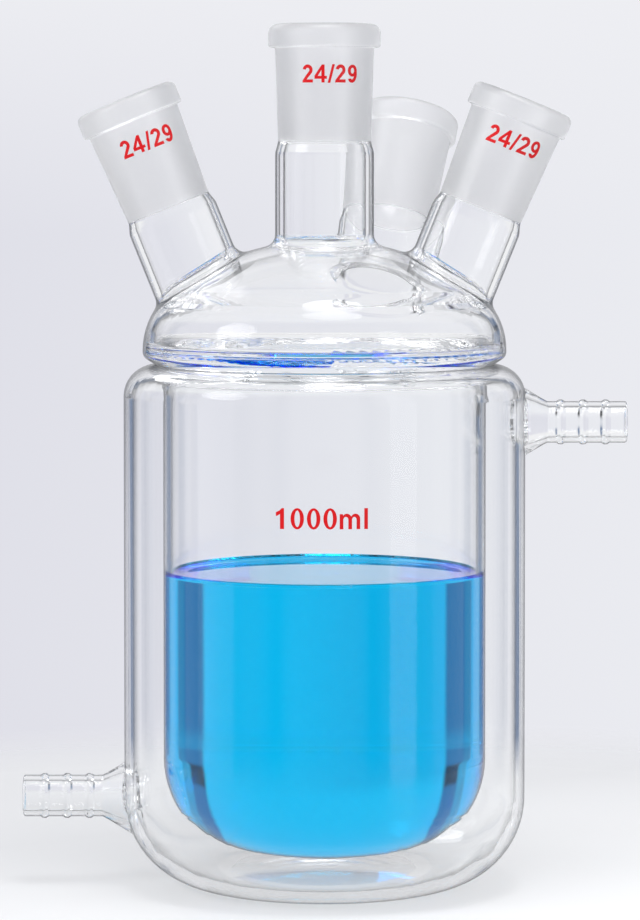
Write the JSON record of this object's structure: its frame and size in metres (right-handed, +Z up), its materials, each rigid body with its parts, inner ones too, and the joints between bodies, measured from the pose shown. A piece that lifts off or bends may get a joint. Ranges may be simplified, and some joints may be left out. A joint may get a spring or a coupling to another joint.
{
  "type": "jacketed reaction flask",
  "caption": "Clear glass jacketed reaction flask with a domed top, tapered ground sockets, hose barbs on its heating jacket and a blue liquid inside.",
  "frame": {"origin": "centre of the foot ring, on the axis of the flask, in the plane that it stands on", "axes": "+Z up along the flask's axis; +X along the upper hose barb, with the lower barb towards -X; the rear neck leans towards +Y"},
  "size_m": [0.1746, 0.1216, 0.249],
  "materials": {
    "clear_glass": "clear polished borosilicate, frosted in the ground sockets",
    "blue_liquid": "clear bright blue liquid"
  },
  "bodies": {
    "root": {"jacketed_flask": "clear_glass", "blue_liquid": "blue_liquid"}
  },
  "joints": []
}
